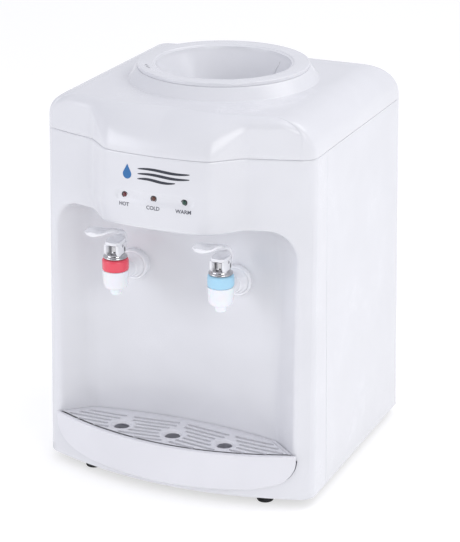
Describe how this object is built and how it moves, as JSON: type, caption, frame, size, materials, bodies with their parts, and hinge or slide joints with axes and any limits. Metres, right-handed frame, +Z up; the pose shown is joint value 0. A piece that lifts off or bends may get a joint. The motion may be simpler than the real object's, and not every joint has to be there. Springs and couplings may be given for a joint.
{
  "type": "countertop water dispenser",
  "caption": "Countertop hot and cold water dispenser with a bottle collar on top, press-down lever taps in an alcove, indicator lights and a slide-out drip tray.",
  "frame": {"origin": "centre of the bounding box, on the surface that the feet stand on", "axes": "+Z up, +X to the right seen from the front, -Y out of the front"},
  "size_m": [0.29, 0.336, 0.4071],
  "materials": {
    "casing": "white moulded ABS, semi gloss",
    "tap_white": "white moulded plastic, gloss",
    "tray": "white moulded plastic, semi gloss",
    "hot_ring": "red moulded plastic, gloss",
    "cold_ring": "light blue moulded plastic, gloss",
    "chrome": "polished chrome plate",
    "lens_red": "dark tinted lens",
    "lens_amber": "dark tinted lens",
    "lens_green": "dark tinted lens",
    "black_rubber": "matt moulded rubber",
    "black_plastic": "matt moulded plastic",
    "grey_sheet": "light grey painted steel sheet",
    "steel": "drawn stainless steel",
    "aluminium": "extruded aluminium",
    "foam": "closed cell foam",
    "circuit_board": "green solder mask",
    "silicone": "clear grey silicone",
    "ceramic": "white ceramic",
    "switch_red": "red moulded plastic",
    "switch_green": "green moulded plastic"
  },
  "bodies": {
    "housing": {"front_panel": "casing", "left_side_panel": "casing", "right_side_panel": "casing", "top_cover": "casing", "back_panel": "grey_sheet", "base_pan": "black_plastic", "foot_front_left": "black_rubber", "foot_front_right": "black_rubber", "foot_rear_left": "black_rubber", "foot_rear_right": "black_rubber", "led_hot": "lens_red", "led_cold": "lens_amber", "led_warm": "lens_green", "led_board": "circuit_board", "cold_tank": "steel", "cold_tank_lid": "tap_white", "cold_baffle": "tap_white", "cold_jacket": "foam", "hot_tank": "steel", "heater_band": "steel", "hot_thermostat": "black_plastic", "thermal_cutout": "black_plastic", "hot_tank_stand": "grey_sheet", "cold_outlet_tube": "silicone", "hot_outlet_tube": "silicone", "hot_feed_tube": "silicone", "drain_tube": "silicone", "cold_plate": "aluminium", "peltier_module": "ceramic", "heat_sink": "aluminium", "fan_frame": "black_plastic", "power_board": "circuit_board", "power_transformer": "foam", "cord_gland": "black_rubber", "switch_frame": "black_plastic", "drain_spout": "tap_white", "hot_tap_flange": "tap_white", "hot_tap_body": "tap_white", "hot_ring": "hot_ring", "hot_bonnet": "chrome", "hot_lever_pin": "steel", "cold_tap_flange": "tap_white", "cold_tap_body": "tap_white", "cold_ring": "cold_ring", "cold_bonnet": "chrome", "cold_lever_pin": "steel"},
    "hot_lever": {"hot_lever": "tap_white"},
    "cold_lever": {"cold_lever": "tap_white"},
    "hot_stem": {"hot_valve_stem": "silicone"},
    "cold_stem": {"cold_valve_stem": "silicone"},
    "drip_tray": {"drip_tray": "tray"},
    "tray_grill": {"tray_grill": "tray"},
    "seat_seal": {"seat_seal": "black_rubber"},
    "bottle_seat": {"bottle_seat": "casing"},
    "fan_rotor": {"fan_rotor": "black_plastic"},
    "hot_switch": {"hot_switch": "switch_red"},
    "cold_switch": {"cold_switch": "switch_green"},
    "drain_washer": {"drain_washer": "black_rubber"},
    "drain_cap": {"drain_cap": "tap_white"}
  },
  "joints": [
    {"name": "hot_lever_press", "type": "hinge", "parent": "housing", "child": "hot_lever", "pos_m": [-0.0557, -0.1186, 0.2505], "axis": [1, 0, 0], "range_deg": [0, 16], "stiffness_Nm_per_rad": 0.12, "springref_deg": -20.05},
    {"name": "hot_stem_lift", "type": "slide", "parent": "housing", "child": "hot_stem", "axis": [0, 0, 1], "range_m": [0, 0.0022]},
    {"name": "cold_lever_press", "type": "hinge", "parent": "housing", "child": "cold_lever", "pos_m": [0.0557, -0.1186, 0.2505], "axis": [1, 0, 0], "range_deg": [0, 16], "stiffness_Nm_per_rad": 0.12, "springref_deg": -20.05},
    {"name": "cold_stem_lift", "type": "slide", "parent": "housing", "child": "cold_stem", "axis": [0, 0, 1], "range_m": [0, 0.0022]},
    {"name": "tray_slide", "type": "slide", "parent": "housing", "child": "drip_tray", "axis": [0, -1, 0], "range_m": [0, 0.075]},
    {"name": "grill_lift", "type": "slide", "parent": "drip_tray", "child": "tray_grill", "axis": [0, 0, 1], "range_m": [0, 0.05]},
    {"name": "seat_lift", "type": "slide", "parent": "housing", "child": "seat_seal", "axis": [0, 0, 1], "range_m": [0, 0.13]},
    {"name": "seat_twist", "type": "hinge", "parent": "seat_seal", "child": "bottle_seat", "pos_m": [0, 0.013, 0.4037], "axis": [0, 0, 1], "range_deg": [0, 25]},
    {"name": "fan_spin", "type": "hinge", "parent": "housing", "child": "fan_rotor", "pos_m": [0, 0.1225, 0.262], "axis": [0, 1, 0], "continuous": true},
    {"name": "hot_switch_rock", "type": "hinge", "parent": "housing", "child": "hot_switch", "pos_m": [0.0715, 0.14417, 0.3], "axis": [1, 0, 0], "range_deg": [0, 20]},
    {"name": "cold_switch_rock", "type": "hinge", "parent": "housing", "child": "cold_switch", "pos_m": [0.0965, 0.14417, 0.3], "axis": [1, 0, 0], "range_deg": [0, 20]},
    {"name": "drain_cap_out", "type": "slide", "parent": "housing", "child": "drain_washer", "axis": [0, 1, 0], "range_m": [0, 0.008]},
    {"name": "drain_cap_turn", "type": "hinge", "parent": "drain_washer", "child": "drain_cap", "pos_m": [-0.06, 0.1643, 0.042], "axis": [0, -1, 0], "range_deg": [0, 1440]}
  ],
  "couplings": [
    {"joint": "hot_stem_lift", "follows": "hot_lever_press", "m_per_rad": 0.0063},
    {"joint": "cold_stem_lift", "follows": "cold_lever_press", "m_per_rad": 0.0063},
    {"joint": "drain_cap_out", "follows": "drain_cap_turn", "m_per_rad": 0.0003183}
  ]
}
